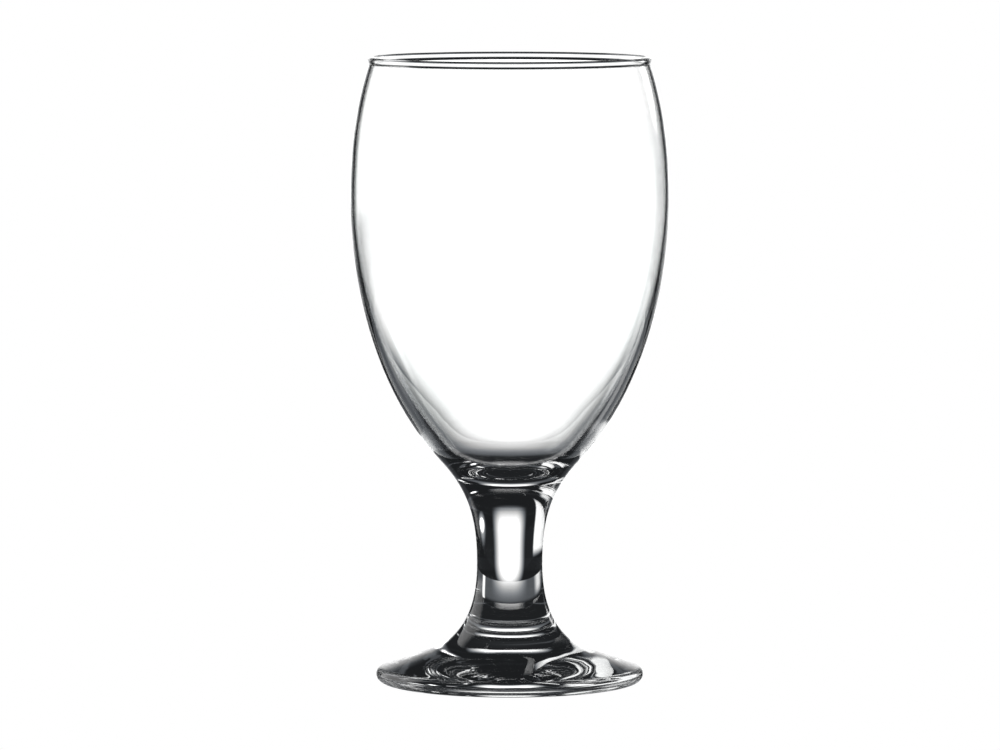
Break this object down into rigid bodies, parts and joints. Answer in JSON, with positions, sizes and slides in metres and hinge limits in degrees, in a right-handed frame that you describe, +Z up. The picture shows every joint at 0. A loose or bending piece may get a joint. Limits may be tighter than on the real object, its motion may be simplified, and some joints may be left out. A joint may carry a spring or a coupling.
{
  "type": "beer glass",
  "caption": "Stemmed goblet of clear glass for drinking beer, with a deep bowl that draws in to a rolled rim, a short waisted stem and a wide rounded foot.",
  "frame": {"origin": "centre of the foot's rest ring, on the surface that the glass stands on", "axes": "+Z up along the glass's axis of rotation, from the foot to the open rim; X and Y are any two directions across it"},
  "size_m": [0.095, 0.095, 0.1865],
  "materials": {
    "clear_glass": "fire-polished, clear and colourless"
  },
  "bodies": {
    "root": {"bowl": "clear_glass", "stem": "clear_glass", "foot": "clear_glass"}
  },
  "joints": []
}
